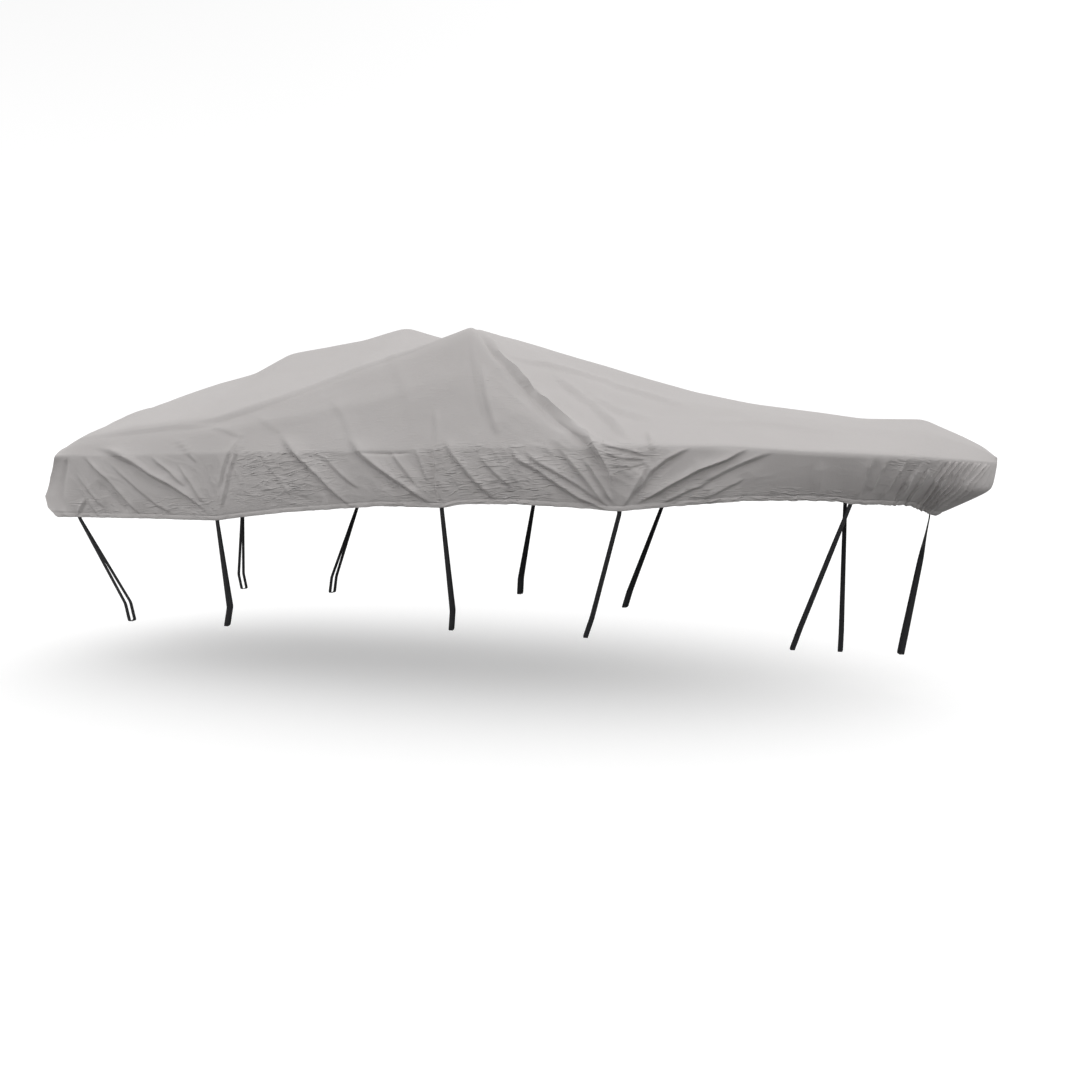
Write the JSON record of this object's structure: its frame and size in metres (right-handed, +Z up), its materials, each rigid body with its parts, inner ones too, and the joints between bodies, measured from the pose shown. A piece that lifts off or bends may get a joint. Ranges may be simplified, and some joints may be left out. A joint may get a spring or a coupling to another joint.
{
  "type": "boat cover",
  "caption": "Fitted cloth cover for a runabout on its trailer, tented over a pole and windscreen, with a hemmed skirt and webbing tie-down loops.",
  "frame": {"origin": "underside of the cloth where it lies on the support pole, the highest point of the middle line", "axes": "+X to the bow, +Y to port, +Z up"},
  "size_m": [5.8389, 2.1429, 2.0744],
  "materials": {
    "cloth": "coated woven polyester, warm grey, dull",
    "webbing": "black woven polypropylene webbing"
  },
  "bodies": {
    "root": {"deck_panel": "cloth", "side_skirt_starboard": "cloth", "side_skirt_port": "cloth", "transom_skirt": "cloth", "strap_stern_starboard": "webbing", "strap_aft_starboard": "webbing", "strap_mid_starboard": "webbing", "strap_fore_starboard": "webbing", "strap_bow_quarter_starboard": "webbing", "strap_stern_port": "webbing", "strap_aft_port": "webbing", "strap_mid_port": "webbing", "strap_fore_port": "webbing", "strap_bow_quarter_port": "webbing", "strap_stem": "webbing"}
  },
  "joints": []
}
